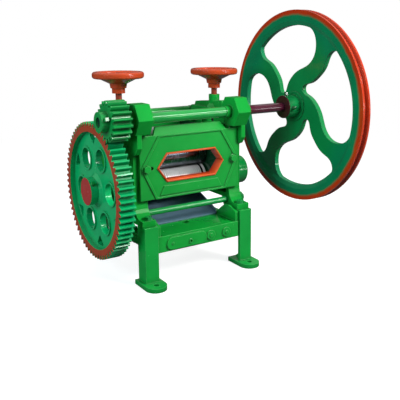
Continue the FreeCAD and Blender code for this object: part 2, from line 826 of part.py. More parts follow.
def make_chute():
    """The discharge chute: one bent sheet with side walls, lying in the rear plate's opening."""
    half = exit_half_width - chute_side_gap - 6
    flat = exit_low + chute_sheet
    end_z = flat - chute_drop
    bend = rear_plate_y + 6
    floor = prism_x([(chute_start, chute_start_z - chute_sheet), (chute_start, chute_start_z),
                     (chute_bend, flat), (bend, flat), (chute_end, end_z),
                     (chute_end, end_z - chute_sheet), (bend, exit_low), (chute_bend, exit_low)],
                    -half, half)
    side_outline = [(chute_bend, exit_low + 0.5), (bend, exit_low + 0.5),
                    (chute_end, end_z - chute_sheet), (chute_end, end_z + chute_side * 0.6),
                    (bend, flat + chute_side), (chute_bend + 20, flat + chute_side)]
    left = prism_x(side_outline, -half, -half + chute_sheet)
    right = prism_x(side_outline, half - chute_sheet, half)
    return join([floor, left, right])


def make_guide_plate():
    """The right guide plate, which keeps the cane off the bearings between the two cross plates."""
    plate = block(guide_x, guide_x + guide_sheet, -frame_front, frame_rear, plate_bottom, plate_top)
    x0 = guide_x - 1
    x1 = guide_x + guide_sheet + 1
    lower_hole = rod_x(x0, x1, 0, lower_roller_z, lower_journal_radius + guide_clearance)
    slot_radius = upper_journal_radius + guide_clearance
    slot = [rod_x(x0, x1, 0, upper_roller_z, slot_radius),
            rod_x(x0, x1, 0, upper_roller_z + guide_lift, slot_radius),
            block(x0, x1, -slot_radius, slot_radius, upper_roller_z, upper_roller_z + guide_lift)]
    return plate.cut([lower_hole, join(slot)])


def make_upper_scraper():
    """The blade that peels the crushed cane off the upper roller, fixed inside the rear plate."""
    tip_y = roller_radius + scraper_gap
    half = roller_length / 2
    blade = prism_x([(tip_y, scraper_tip_z), (frame_rear, scraper_top_z - 4),
                     (frame_rear, scraper_top_z + 6), (frame_rear - 8, scraper_top_z + 6),
                     (tip_y + 2, scraper_tip_z + scraper_sheet)], -half, half)
    return blade


def make_deck():
    """The juice deck: a cast shelf with a front skirt that carries a blank raised badge."""
    under = deck_top - deck_thickness
    pad_inner = leg_rear_of_front - 2
    middle = block(-deck_half, deck_half, skirt_y, -deck_rear, under, deck_top)
    wings = block(-deck_wing_half, deck_wing_half, -pad_inner, -deck_rear, under, deck_top)
    skirt = block(-deck_half, deck_half, skirt_y, skirt_y + skirt_thickness,
                  deck_top - skirt_height, deck_top)
    badge_z = deck_top - skirt_height / 2 - 1
    badge_round = badge_height / 2
    badge_y = skirt_y - badge_rise
    badge = block(-badge_left + badge_round, badge_right - badge_round, badge_y, skirt_y + 1,
                  badge_z - badge_round, badge_z + badge_round)
    ends = [rod_y(badge_y, skirt_y + 1, x, badge_z, badge_round)
            for x in (-badge_left + badge_round, badge_right - badge_round)]
    studs = [rod_y(badge_y - stud_rise, skirt_y + 1, -badge_left + badge_round, badge_z, stud_radius)]
    for x in boss_places:
        studs.append(rod_y(skirt_y - boss_rise, skirt_y + 1, x, badge_z, boss_radius))
        studs.append(rod_y(skirt_y - boss_rise - stud_rise, skirt_y + 1, x, badge_z, boss_stud_radius))
    lug = rod_y(skirt_y - lug_length, skirt_y + 1, lug_x, lug_z, lug_radius)
    gusset_outline = [(skirt_y + 2, deck_top - 1), (skirt_y + 2, deck_top + gusset_front_rise),
                      (-leg_rear_of_front, deck_top + gusset_rise),
                      (-gusset_flat, deck_top + gusset_rise),
                      (-gusset_knee, deck_top + gusset_knee_rise), (-deck_rear, deck_top - 1)]
    gussets = []
    for side in (-1, 1):
        x0, x1 = sorted((side * deck_half, side * (deck_half - gusset_width)))
        gussets.append(prism_x(gusset_outline, x0, x1))
    body = join([middle, wings, skirt, badge, lug] + ends + studs + gussets)
    cuts = [rod_z(under - 1, deck_top + 1, 0, -outlet_y, outlet_radius)]
    cuts.append(rod_y(skirt_y - lug_length - 1, skirt_y + 2, lug_x, lug_z, lug_bore))
    for side in (-1, 1):
        for y in deck_bolt_places[:2]:
            cuts.append(rod_z(under - 1, deck_top + 1, side * foot_x, y, m8_radius + hole_clearance))
    return body.cut(cuts)


def make_outlet():
    """The short pipe under the deck through which the juice runs into a jug."""
    top = deck_top - deck_thickness
    pipe = rod_z(top - outlet_length, top, 0, -outlet_y, outlet_radius + outlet_wall)
    flange = rod_z(top - 4, top, 0, -outlet_y, outlet_radius + 3 * outlet_wall)
    return join([pipe, flange]).cut(rod_z(top - outlet_length - 1, top + 1, 0, -outlet_y, outlet_radius))


def make_juice_sheet():
    """The sloping sheet that catches the juice and leads it forward to the deck."""
    rod_top = tie_rod_z + tie_rod_radius
    rise = rod_top - deck_top
    run = tie_rod_y + sheet_front
    slope = rise / run
    rear = tie_rod_y + 8
    rear_z = deck_top + slope * (rear + sheet_front) + tie_rod_radius * slope * slope
    floor = prism_x([(-sheet_front, deck_top), (rear, rear_z), (rear, rear_z + sheet_thickness),
                     (-sheet_front, deck_top + sheet_thickness)], -sheet_half_width, sheet_half_width)
    walls = []
    for side in (-1, 1):
        x0, x1 = sorted((side * sheet_half_width, side * (sheet_half_width - sheet_thickness)))
        walls.append(prism_x([(-sheet_front, deck_top), (rear, rear_z), (rear, rear_z + sheet_side),
                              (-sheet_front, deck_top + sheet_side)], x0, x1))
    return join([floor] + walls)


def make_tie_rod(side):
    end = frame_half_width + tie_rod_overhang
    return rod_x(-end, end, side * tie_rod_y, tie_rod_z, tie_rod_radius)


def make_tie_rod_nuts():
    nuts = []
    for side_y in (-1, 1):
        for side_x in (-1, 1):
            seat = V(side_x * frame_half_width, side_y * tie_rod_y, tie_rod_z)
            axis = V(side_x, 0, 0)
            nut = hexagon(seat + axis * washer_thickness, tie_nut_across, V(0, 0, 1), axis,
                          tie_nut_height)
            washer = Part.makeCylinder(tie_nut_across * 0.6, washer_thickness, seat, axis)
            hole = Part.makeCylinder(tie_rod_radius, 4 * tie_nut_height,
                                     seat - axis * tie_nut_height, axis)
            nuts.append(join([nut, washer]).cut(hole))
    return group(nuts)


def make_lower_roller():
    """The fixed roller: ridges around its body, end collars, journals and gear seats, in one piece."""
    half = roller_length / 2
    ridge_end = half - roller_collar - collar_groove
    count = int(2 * ridge_end / ridge_pitch)
    pitch = 2 * ridge_end / count
    valley = roller_radius - ridge_depth
    outline = [(-gear_end, 0), (-gear_end, gear_seat_radius), (-lower_boss_end - 1, gear_seat_radius),
               (-lower_boss_end - 1, lower_journal_radius), (-half, lower_journal_radius),
               (-half, roller_radius), (-half + roller_collar, roller_radius),
               (-half + roller_collar, roller_radius - collar_groove_depth),
               (-ridge_end, roller_radius - collar_groove_depth)]
    for index in range(count):
        start = -ridge_end + index * pitch
        outline += [(start, valley), (start + pitch * 0.35, roller_radius),
                    (start + pitch * 0.65, roller_radius)]
    outline += [(ridge_end, valley), (ridge_end, roller_radius - collar_groove_depth),
                (half - roller_collar, roller_radius - collar_groove_depth),
                (half - roller_collar, roller_radius), (half, roller_radius),
                (half, lower_journal_radius), (lower_boss_end + 1, lower_journal_radius),
                (lower_boss_end + 1, gear_seat_radius), (shroud_end, gear_seat_radius),
                (shroud_end, 0)]
    body = turned_x(outline, 0, lower_roller_z)
    keyways = [key_bar(-gear_end + 4, -gear_inner_face - 4, 0, lower_roller_z, gear_seat_radius, key_play),
               key_bar(crown_start + 4, lower_crown_end, 0, lower_roller_z, gear_seat_radius, key_play)]
    return body.cut(keyways)


def make_upper_roller():
    """The adjustable roller: a plain body with chamfered ends, journals and the crown gear's seat."""
    half = roller_length / 2
    step = frame_half_width + block_clearance + block_lip + 2
    outline = [(-step, 0), (-step, upper_journal_radius), (-half, upper_journal_radius),
               (-half, roller_radius - 2), (-half + 2, roller_radius), (half - 2, roller_radius),
               (half, roller_radius - 2), (half, upper_journal_radius), (step, upper_journal_radius),
               (step, crown_seat_radius), (upper_crown_end, crown_seat_radius), (upper_crown_end, 0)]
    body = turned_x(outline, 0, upper_roller_z)
    keyway = key_bar(crown_start + 4, upper_crown_end - 4, 0, upper_roller_z, crown_seat_radius, key_play)
    return body.cut(keyway)


def make_main_gear():
    """The driven gear: toothed rim, recessed web with lipped holes, and a long boss."""
    mesh_angle = math.atan2(drive_z - lower_roller_z, drive_y)
    outer = -gear_outer_face
    inner = -gear_inner_face
    rim = gear_blank(main_teeth, outer, inner, 0, lower_roller_z, mesh_angle)
    rim = rim.cut(rod_x(outer - 1, inner + 1, 0, lower_roller_z, rim_inner_radius))
    web_left = outer + gear_web_recess
    web = tube_x(web_left, web_left + gear_web, 0, lower_roller_z, rim_inner_radius + 1, gear_seat_radius)
    boss = rod_x(-gear_end, inner + 4, 0, lower_roller_z, gear_boss_radius)
    boss_fillet = Part.makeCone(gear_boss_radius + 8, gear_boss_radius, 8, V(web_left, 0, lower_roller_z),
                                V(-1, 0, 0))
    pieces = [rim, web, boss, boss_fillet]
    cuts = [rod_x(-gear_end - 1, inner + 5, 0, lower_roller_z, gear_seat_radius)]
    for index in range(web_hole_count):
        turn = math.radians(web_hole_turn + 360.0 * index / web_hole_count)
        y = web_hole_circle * math.cos(turn)
        z = lower_roller_z + web_hole_circle * math.sin(turn)
        pieces.append(rod_x(web_left - web_hole_lip_height, web_left + 1, y, z,
                            web_hole_radius + web_hole_lip))
        cuts.append(rod_x(web_left - 10, inner + 1, y, z, web_hole_radius))
        between = turn + math.pi / web_hole_count
        spread = math.radians(spandrel_half_angle)
        corners = []
        for radius, angle in ((spandrel_outer, between - spread), (spandrel_outer, between + spread),
                              (spandrel_inner, between)):
            corners.append((radius * math.cos(angle), lower_roller_z + radius * math.sin(angle)))
        hole = prism_x(corners, web_left - 10, web_left + gear_web + 1)
        cuts.append(hole.makeFillet(spandrel_round, edges_along_x(hole)))
    cuts.append(key_bar(-gear_end + 4, inner - 4, 0, lower_roller_z, gear_seat_radius, key_play))
    cuts.append(set_screw_hole(gear_screw_x, 0, lower_roller_z, gear_boss_radius, gear_screw_turn))
    return join(pieces).cut(cuts)


def make_lower_crown():
    """The wide crown gear of the fixed roller, with a smooth shroud disc on its outer end."""
    gear = gear_blank(crown_teeth, crown_start, lower_crown_end, 0, lower_roller_z, math.pi / 2)
    shroud = rod_x(lower_crown_end - 0.5, shroud_end, 0, lower_roller_z, shroud_radius)
    shroud = shroud.makeFillet(3.0, [e for e in shroud.Edges if e.BoundBox.XMin > lower_crown_end])
    body = join([gear, shroud])
    cuts = [rod_x(crown_start - 1, shroud_end + 1, 0, lower_roller_z, gear_seat_radius),
            key_bar(crown_start + 4, lower_crown_end, 0, lower_roller_z, gear_seat_radius, key_play)]
    return body.cut(cuts)


def make_upper_crown():
    phase = -math.pi / 2 + math.pi / crown_teeth
    gear = gear_blank(crown_teeth, crown_start, upper_crown_end, 0, upper_roller_z, phase)
    cuts = [rod_x(crown_start - 1, upper_crown_end + 1, 0, upper_roller_z, crown_seat_radius),
            key_bar(crown_start + 4, upper_crown_end - 4, 0, upper_roller_z, crown_seat_radius, key_play)]
    return gear.cut(cuts)


def end_keeper(x, z, seat_radius):
    """A washer and bolt on the end of a roller shaft."""
    washer = rod_x(x, x + 3, 0, z, seat_radius + 4)
    head = hexagon(V(x + 3, 0, z), 2 * m10_radius * head_ratio, V(0, 0, 1), V(1, 0, 0), 6)
    return join([washer, head])


def make_drive_shaft():
    """The drive shaft, thicker between the bearings and stepped down for the pinion and flywheel."""
    step = housing_boss_end - 1
    right_step = frame_half_width + drive_step
    body = turned_x([(-shaft_end, 0), (-shaft_end, drive_end_radius), (-step, drive_end_radius),
                     (-step, drive_shaft_radius), (right_step, drive_shaft_radius),
                     (right_step, drive_end_radius), (wheel_hub_right, drive_end_radius),
                     (wheel_hub_right, 0)], drive_y, drive_z)
    keyways = [key_bar(-shaft_end + 4, -pinion_inner_face - 4, drive_y, drive_z, drive_end_radius,
                       key_play),
               key_bar(wheel_hub_left + 22, wheel_hub_right - 4, drive_y, drive_z, drive_end_radius,
                       key_play)]
    return body.cut(keyways)


def make_shaft_collars():
    """Two split collars that keep the drive shaft from sliding through its bearings."""
    collars = []
    for side in (-1, 1):
        near = frame_inner - bush_flange - 1
        x0, x1 = sorted((side * near, side * (near - 12)))
        collars.append(tube_x(x0, x1, drive_y, drive_z, drive_shaft_radius + 2, drive_shaft_radius))
    return group(collars)


def make_pinion():
    """The drive pinion; one of its gaps faces the main gear's tooth on the line of centres."""
    mesh_angle = math.atan2(drive_z - lower_roller_z, drive_y) + math.pi
    phase = mesh_angle + math.pi / pinion_teeth
    gear = gear_blank(pinion_teeth, -gear_outer_face, -pinion_inner_face, drive_y, drive_z, phase)
    boss = rod_x(-pinion_end, -gear_outer_face + 1, drive_y, drive_z, pinion_boss_radius)
    cuts = [rod_x(-pinion_end - 1, -pinion_inner_face + 1, drive_y, drive_z, drive_end_radius),
            key_bar(-shaft_end + 4, -pinion_inner_face - 4, drive_y, drive_z, drive_end_radius, key_play),
            set_screw_hole(pinion_screw_x, drive_y, drive_z, pinion_boss_radius, pinion_screw_turn)]
    return join([gear, boss]).cut(cuts)


def wheel_point(radius, degrees, x):
    """A point of the flywheel; degrees run from the feed side upwards."""
    turn = math.radians(degrees)
    return V(x, drive_y - radius * math.cos(turn), drive_z + radius * math.sin(turn))


def make_arm_gap(start):
    """The opening between two curved arms: a smooth curve closed by an arc under the rim."""
    curve = Part.BSplineCurve()
    x = wheel_near_face - wheel_rim_width
    curve.interpolate([wheel_point(r, start + a, x) for r, a in arm_gap_outline])
    first_radius, first_angle = arm_gap_outline[0]
    last_radius, last_angle = arm_gap_outline[-1]
    middle = (first_angle + last_angle) / 2
    arc = Part.Arc(wheel_point(last_radius, start + last_angle, x),
                   wheel_point(last_radius, start + middle, x),
                   wheel_point(first_radius, start + first_angle, x))
    wire = Part.Wire([curve.toShape(), arc.toShape()])
    return Part.Face(wire).extrude(V(3 * wheel_rim_width, 0, 0))


def make_flywheel():
    """The flywheel: grooved rim, flat disc cut into four curved arms, and a long hub."""
    near = wheel_near_face
    far = wheel_far_face
    inner = wheel_radius - rim_depth
    arm_near = wheel_middle - arm_thickness / 2
    arm_far = wheel_middle + arm_thickness / 2
    rim = turned_x([(near, inner), (arm_near, rim_ring_radius), (arm_far, rim_ring_radius),
                    (far, inner), (far, wheel_radius), (wheel_middle + groove_top_half, wheel_radius),
                    (wheel_middle + groove_bottom_half, wheel_radius - groove_depth),
                    (wheel_middle - groove_bottom_half, wheel_radius - groove_depth),
                    (wheel_middle - groove_top_half, wheel_radius), (near, wheel_radius)],
                   drive_y, drive_z)
    disc = tube_x(arm_near, arm_far, drive_y, drive_z, rim_ring_radius + 1, drive_end_radius)
    disc = disc.cut([make_arm_gap(360 / arm_count * index) for index in range(arm_count)])
    raised = rod_x(arm_near - wheel_boss_extra, arm_far + wheel_boss_extra, drive_y, drive_z,
                   wheel_boss_radius)
    hub = rod_x(wheel_hub_left, wheel_hub_right, drive_y, drive_z, wheel_hub_outer)
    hub = hub.makeFillet(2.0, [e for e in hub.Edges if e.Curve.TypeId == "Part::GeomCircle"])
    body = join([rim, disc, raised, hub])
    cuts = [rod_x(wheel_hub_left - 1, wheel_hub_right + 1, drive_y, drive_z, drive_end_radius),
            key_bar(wheel_hub_left + 22, wheel_hub_right - 4, drive_y, drive_z, drive_end_radius,
                    key_play)]
    for turn in flywheel_screw_turns:
        cuts.append(set_screw_hole(flywheel_screw_x, drive_y, drive_z, wheel_hub_outer, turn))
    return body.cut(cuts)


# Places of the fasteners, from the pieces that they hold
stand_bolt_x = frame_inner + 15
stand_bolt_y = frame_pad_end - stand_bolt_inset
cap_screw_places = (-(slot_half_width + guide_post / 3), cap_screw_rear)
cap_screw_head = m8_radius * 1.6
cap_screw_sink = 9.0
cap_screw_grip = 22.0
deck_bolt_inset = 12.0
deck_bolt_pitch = 36.0
deck_bolt_places = (-(deck_rear + deck_bolt_inset),
                    -(deck_rear + deck_bolt_inset + deck_bolt_pitch))
gear_screw_x = -(gear_outer_face + gear_boss_proud / 2)
gear_screw_turn = 40.0
pinion_screw_x = -(gear_outer_face + pinion_boss_length / 2)
pinion_screw_turn = 18.0
flywheel_screw_x = wheel_hub_left + 13
flywheel_screw_turns = (90.0, 0.0)
arm_gap_outline = [(rim_ring_radius, 38), (217, 46.5), (200, 48), (166, 45), (122, 44), (90, 49),
                   (66, 59), (55, 50), (62, 32), (80, 12), (101, -7), (128, -24), (160, -28.5),
                   (195, -25.5), (215, -21), (rim_ring_radius, -10)]

# Frame and stand
right_frame = make_side_frame()
save("right_side_frame", right_frame)
save("left_side_frame", mirrored(right_frame))
right_stand = make_stand()
save("right_stand", right_stand)
save("left_stand", mirrored(right_stand))
save("front_tie_rod", make_tie_rod(-1))
save("rear_tie_rod", make_tie_rod(1))
save("tie_rod_nuts", make_tie_rod_nuts())
top_rail = rod_x(-frame_inner, frame_inner, top_rail_y, frame_top - top_rail_drop, top_rail_radius)
rail_holes = [rod_x(side * frame_inner - 20, side * frame_inner + 20, top_rail_y,
                    frame_top - top_rail_drop, m10_radius) for side in (-1, 1)]
save("rear_top_rail", top_rail.cut(rail_holes))
rail_bolts = [bolt(V(side * frame_half_width, top_rail_y, frame_top - top_rail_drop), V(-side, 0, 0),
                   m10_radius, frame_casting_width + 16, False) for side in (-1, 1)]
save("rail_bolts", group(rail_bolts))
stand_bolts = []
for side_x in (-1, 1):
    for side_y in (-1, 1):
        seat = V(side_x * stand_bolt_x, side_y * stand_bolt_y, stand_top + frame_pad)
        stand_bolts.append(bolt(seat, V(0, 0, -1), m10_radius, frame_pad + stand_pad - 2, False))
save("stand_bolts", group(stand_bolts))

# Plates, chute and scraper
save("front_plate", make_front_plate())
save("feed_mouth", make_feed_mouth())
save("rear_plate", make_rear_plate())
save("discharge_chute", make_chute())
guide_plate = make_guide_plate()
save("right_guide_plate", guide_plate)
save("left_guide_plate", mirrored(guide_plate))
save("upper_scraper", make_upper_scraper())
plate_grip = plate_thickness + frame_flange - 2
front_bolts = [bolt(V(side * plate_bolt_x, front_plate_y, plate_bolt_z), V(0, 1, 0), m10_radius,
                    plate_grip, False) for side in (-1, 1)]
save("front_plate_bolts", group(front_bolts))
rear_bolts = [bolt(V(side * plate_bolt_x, rear_plate_y, plate_bolt_z), V(0, -1, 0), m10_radius,
                   plate_grip, False) for side in (-1, 1)]
save("rear_plate_bolts", group(rear_bolts))

# Juice deck
save("juice_deck", make_deck())
save("juice_outlet", make_outlet())
save("juice_sheet", make_juice_sheet())
deck_bolts = []
for side in (-1, 1):
    for y in deck_bolt_places:
        deck_bolts.append(bolt(V(side * foot_x, y, deck_top), V(0, 0, -1), m8_radius,
                               deck_top - rail_low, True))
save("deck_bolts", group(deck_bolts))

# Bearings, caps and pressure screws
drive_bush = make_bush(frame_inner, housing_boss_end, drive_y, drive_z, drive_shaft_radius,
                       bush_outer_drive, False)
save("right_drive_bush", drive_bush)
save("left_drive_bush", mirrored(drive_bush))
lower_bush = make_bush(frame_inner, lower_boss_end, 0, lower_roller_z, lower_journal_radius,
                       bush_outer_lower, True)
save("right_lower_bush", lower_bush)
save("left_lower_bush", mirrored(lower_bush))
upper_bush = make_bush(frame_inner + block_inset, frame_half_width + block_clearance + block_lip, 0,
                       upper_roller_z, upper_journal_radius, bush_outer_upper, False)
save("right_upper_bush", upper_bush)
save("left_upper_bush", mirrored(upper_bush))
bearing_block = make_bearing_block()
save("right_bearing_block", bearing_block)
save("left_bearing_block", mirrored(bearing_block))
cap = make_cap()
save("right_cap", cap)
save("left_cap", mirrored(cap))
save("cap_screws", make_cap_screws())
pressure_screw = make_pressure_screw()
save("right_pressure_screw", pressure_screw)
save("left_pressure_screw", mirrored(pressure_screw))
hand_wheel = make_hand_wheel()
save("right_hand_wheel", hand_wheel)
save("left_hand_wheel", mirrored(hand_wheel))
wheel_nut = make_wheel_nut()
save("right_wheel_nut", wheel_nut)
save("left_wheel_nut", mirrored(wheel_nut))

# Rollers and their gears
save("lower_roller", make_lower_roller())
save("upper_roller", make_upper_roller())
save("main_gear", make_main_gear())
save("main_gear_screw", set_screw(gear_screw_x, 0, lower_roller_z, gear_boss_radius, gear_seat_radius,
                                  gear_screw_turn))
spacer = tube_x(-gear_inner_face + 4.5, -lower_boss_end - 1.5, 0, lower_roller_z, gear_seat_radius + 8,
                gear_seat_radius)
save("gear_spacer", spacer)
save("lower_crown_gear", make_lower_crown())
save("upper_crown_gear", make_upper_crown())
roller_keys = [key_bar(-gear_end + 4, -gear_inner_face - 4, 0, lower_roller_z, gear_seat_radius, 0),
               key_bar(crown_start + 4, lower_crown_end, 0, lower_roller_z, gear_seat_radius, 0)]
save("lower_roller_keys", group(roller_keys))
save("upper_roller_key", key_bar(crown_start + 4, upper_crown_end - 4, 0, upper_roller_z,
                                 crown_seat_radius, 0))
save("lower_end_keeper", end_keeper(shroud_end, lower_roller_z, gear_seat_radius))
save("upper_end_keeper", end_keeper(upper_crown_end, upper_roller_z, crown_seat_radius))

# Drive shaft, pinion and flywheel
save("drive_shaft", make_drive_shaft())
save("shaft_collars", make_shaft_collars())
save("drive_pinion", make_pinion())
save("pinion_screw", set_screw(pinion_screw_x, drive_y, drive_z, pinion_boss_radius, drive_end_radius,
                               pinion_screw_turn))
save("flywheel", make_flywheel())
flywheel_screws = [set_screw(flywheel_screw_x, drive_y, drive_z, wheel_hub_outer, drive_end_radius, turn)
                   for turn in flywheel_screw_turns]
save("flywheel_screws", group(flywheel_screws))
drive_keys = [key_bar(-shaft_end + 4, -pinion_inner_face - 4, drive_y, drive_z, drive_end_radius, 0),
              key_bar(wheel_hub_left + 22, wheel_hub_right - 4, drive_y, drive_z, drive_end_radius, 0)]
save("drive_keys", group(drive_keys))
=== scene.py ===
import math
import bpy
from mathutils import Euler, Matrix, Vector

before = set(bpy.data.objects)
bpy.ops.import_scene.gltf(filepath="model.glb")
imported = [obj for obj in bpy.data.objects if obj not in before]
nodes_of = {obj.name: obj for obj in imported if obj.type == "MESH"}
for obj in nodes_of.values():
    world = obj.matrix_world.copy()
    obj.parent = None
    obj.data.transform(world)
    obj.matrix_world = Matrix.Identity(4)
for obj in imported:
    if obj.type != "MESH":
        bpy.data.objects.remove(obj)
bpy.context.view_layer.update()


# Caps, front and rear plates, juice deck and top rail: sand-cast iron, bolted between the side
# frames, in bright green gloss enamel. The cast skin shows through the paint, and the thick coat
# rounds the edges. The drive shaft's collars and bushes have the same green.
def add_sockets(tree, inputs, outputs):
    """The named sockets of a shared effect, each with its kind of value."""
    for way, sockets in (("INPUT", inputs), ("OUTPUT", outputs)):
        for label, kind in sockets.items():
            tree.interface.new_socket(label, in_out=way, socket_type="NodeSocket" + kind)


def add_noise(tree, vector, scale, detail=2.0):
    noise = tree.nodes.new("ShaderNodeTexNoise")
    noise.inputs["Scale"].default_value = scale
    noise.inputs["Detail"].default_value = detail
    tree.links.new(vector, noise.inputs["Vector"])
    return noise.outputs["Fac"]


def add_range(tree, value, low, high, to_low=0.0, to_high=1.0):
    """The value, stretched from one range to another and held inside it."""
    ranged = tree.nodes.new("ShaderNodeMapRange")
    tree.links.new(value, ranged.inputs["Value"])
    for label, limit in (("From Min", low), ("From Max", high), ("To Min", to_low), ("To Max", to_high)):
        ranged.inputs[label].default_value = limit
    return ranged.outputs["Result"]


def add_sum(tree, operation, *values, kind="ShaderNodeMath", result="Value"):
    """One operation on sockets or numbers, as a node; gives the socket of its result."""
    node = tree.nodes.new(kind)
    node.operation = operation
    for socket, value in zip(node.inputs, values):
        if isinstance(value, bpy.types.NodeSocket):
            tree.links.new(value, socket)
        else:
            socket.default_value = value
    return node.outputs[result]


def add_mix(tree, first, second, factor):
    """The first colour where the factor is 0 and the second where it is 1."""
    mix = tree.nodes.new("ShaderNodeMix")
    mix.data_type = "RGBA"
    for label, colour in (("A", first), ("B", second)):
        if isinstance(colour, bpy.types.NodeSocket):
            tree.links.new(colour, mix.inputs[label])
        else:
            mix.inputs[label].default_value = (*colour, 1.0)
    tree.links.new(factor, mix.inputs["Factor"])
    return mix.outputs["Result"]


def shade_by(tree, colour, amount):
    """The colour, made darker or paler by the amount."""
    shaded = tree.nodes.new("ShaderNodeHueSaturation")
    tree.links.new(colour, shaded.inputs["Color"])
    tree.links.new(amount, shaded.inputs["Value"])
    return shaded.outputs["Color"]


def make_enamel_group():
    """Enamel over cast iron: a colour that is a little uneven, with painted shade in corners and a
    painted highlight on edges, its roughness, and a normal with a fine cast skin and soft edges."""
    mottle_scale, grain_scale = 14.0, 110.0
    shade_reach, skin_height = 0.025, 0.0005
    tree = bpy.data.node_groups.new("enamel_over_iron", "ShaderNodeTree")
    add_sockets(tree, {"Paint": "Color", "Skin": "Float", "Edge": "Float"},
                {"Colour": "Color", "Roughness": "Float", "Normal": "Vector"})
    new, link = tree.nodes.new, tree.links.new
    given, result = new("NodeGroupInput"), new("NodeGroupOutput")
    place = new("ShaderNodeTexCoord").outputs["Object"]
    mottle = add_range(tree, add_noise(tree, place, mottle_scale, 3.0), 0.3, 0.7, 0.9, 1.08)
    uneven = shade_by(tree, given.outputs["Paint"], mottle)
    rounded = new("ShaderNodeBevel")
    rounded.samples = 8
    link(given.outputs["Edge"], rounded.inputs["Radius"])
    flat = new("ShaderNodeNewGeometry")
    same = add_sum(tree, "DOT_PRODUCT", rounded.outputs["Normal"], flat.outputs["Normal"],
                   kind="ShaderNodeVectorMath")
    # Painted highlight: at edges, where the rounded normal turns from the flat one, the colour is mixed
    # towards a paler one.
    edge_highlight = new("ShaderNodeHueSaturation")
    edge_highlight.inputs["Saturation"].default_value = 0.8
    edge_highlight.inputs["Value"].default_value = 1.5
    link(uneven, edge_highlight.inputs["Color"])
    highlighted = add_mix(tree, uneven, edge_highlight.outputs["Color"], add_range(tree, same, 0.995, 0.9, 0.0, 0.35))
    # Painted shade: ambient occlusion darkens the colour in corners and creases.
    corner_shade = new("ShaderNodeAmbientOcclusion")
    corner_shade.samples = 8
    corner_shade.inputs["Distance"].default_value = shade_reach
    corner_shade_amount = add_range(tree, corner_shade.outputs["AO"], 0.35, 0.9, 0.55, 1.0)
    link(shade_by(tree, highlighted, corner_shade_amount), result.inputs["Colour"])
    grain = add_noise(tree, place, grain_scale)
    link(add_range(tree, grain, 0.0, 1.0, 0.2, 0.3), result.inputs["Roughness"])
    skin = new("ShaderNodeBump")
    skin.inputs["Distance"].default_value = skin_height
    link(given.outputs["Skin"], skin.inputs["Strength"])
    link(grain, skin.inputs["Height"])
    link(rounded.outputs["Normal"], skin.inputs["Normal"])
    link(skin.outputs["Normal"], result.inputs["Normal"])
    return tree


def start_material(name, group):
    """A material whose shader takes its colour, roughness and normal from one shared effect."""
    material = bpy.data.materials.new(name)
    material.use_nodes = True
    shader = material.node_tree.nodes["Principled BSDF"]
    effect = material.node_tree.nodes.new("ShaderNodeGroup")
    effect.name = "effect"
    effect.node_tree = group
    for label, socket in (("Colour", "Base Color"), ("Roughness", "Roughness"), ("Normal", "Normal")):
        material.node_tree.links.new(effect.outputs[label], shader.inputs[socket])
    return material, shader, effect


def enamel(name, paint, skin, edge, coat=0.5, shine=0.3):
    material, shader, effect = start_material(name, enamel_group)
    effect.inputs["Paint"].default_value = (*paint, 1.0)
    effect.inputs["Skin"].default_value = skin
    effect.inputs["Edge"].default_value = edge
    shader.inputs["Specular IOR Level"].default_value = shine
    shader.inputs["Coat Weight"].default_value = coat
    shader.inputs["Coat Roughness"].default_value = 0.07
    return material


def dress(material, *names):
    for name in names:
        nodes_of[name].data.materials.clear()
        nodes_of[name].data.materials.append(material)


enamel_group = make_enamel_group()
casting_green = (0.005, 0.31, 0.036)
green = enamel("green_enamel", casting_green, skin=0.12, edge=0.0022)
dress(green, "left_cap", "right_cap", "front_plate", "rear_plate", "juice_deck", "rear_top_rail",
      "front_plate_bolts", "rear_plate_bolts", "shaft_collars", "left_drive_bush", "right_drive_bush")

# Side frames: cast iron channels that carry everything else, in the same green. It is duller
# here, as these castings have had less polish.
frame_green = enamel("frame_enamel", casting_green, skin=0.12, edge=0.0016, coat=0.05, shine=0.12)
dress(frame_green, "left_side_frame", "right_side_frame")

# Stands: two legs with feet and a rail on each side, bolted to the frames. Their green is
# close to that of the castings, only a little bluer.
stand_green = enamel("stand_enamel", (0.004, 0.3, 0.042), skin=0.1, edge=0.002)
dress(stand_green, "left_stand", "right_stand")


# Feed mouth: a cast ring that is fixed in the front plate's window, in orange-red enamel at its
# front. Further inside, the red is darkened: painted shade on the mouth's inner walls.
def fade_along(material, axis, start, end):
    """A mask that goes from 0 to 1 between two places on an axis of the machine."""
    tree = material.node_tree
    place, parts = (tree.nodes.new(kind) for kind in ("ShaderNodeTexCoord", "ShaderNodeSeparateXYZ"))
    tree.links.new(place.outputs["Object"], parts.inputs["Vector"])
    return add_range(tree, parts.outputs[axis], start, end)


def paint_over(material, paint, mask):
    """Puts a second paint where the mask is 1, before the enamel effect."""
    tree = material.node_tree
    socket = tree.nodes["effect"].inputs["Paint"]
    first = socket.links[0].from_socket if socket.is_linked else socket.default_value[:3]
    tree.links.new(add_mix(tree, first, paint, mask), socket)


mouth_front, mouth_shade_depth = -0.112, -0.09
mouth_red = enamel("mouth_enamel", (0.62, 0.085, 0.016), skin=0.08, edge=0.001)
# Painted shade: dark red from the mouth's front to its inside.
paint_over(mouth_red, (0.3, 0.02, 0.006), fade_along(mouth_red, "Y", mouth_front, mouth_shade_depth))
dress(mouth_red, "feed_mouth")
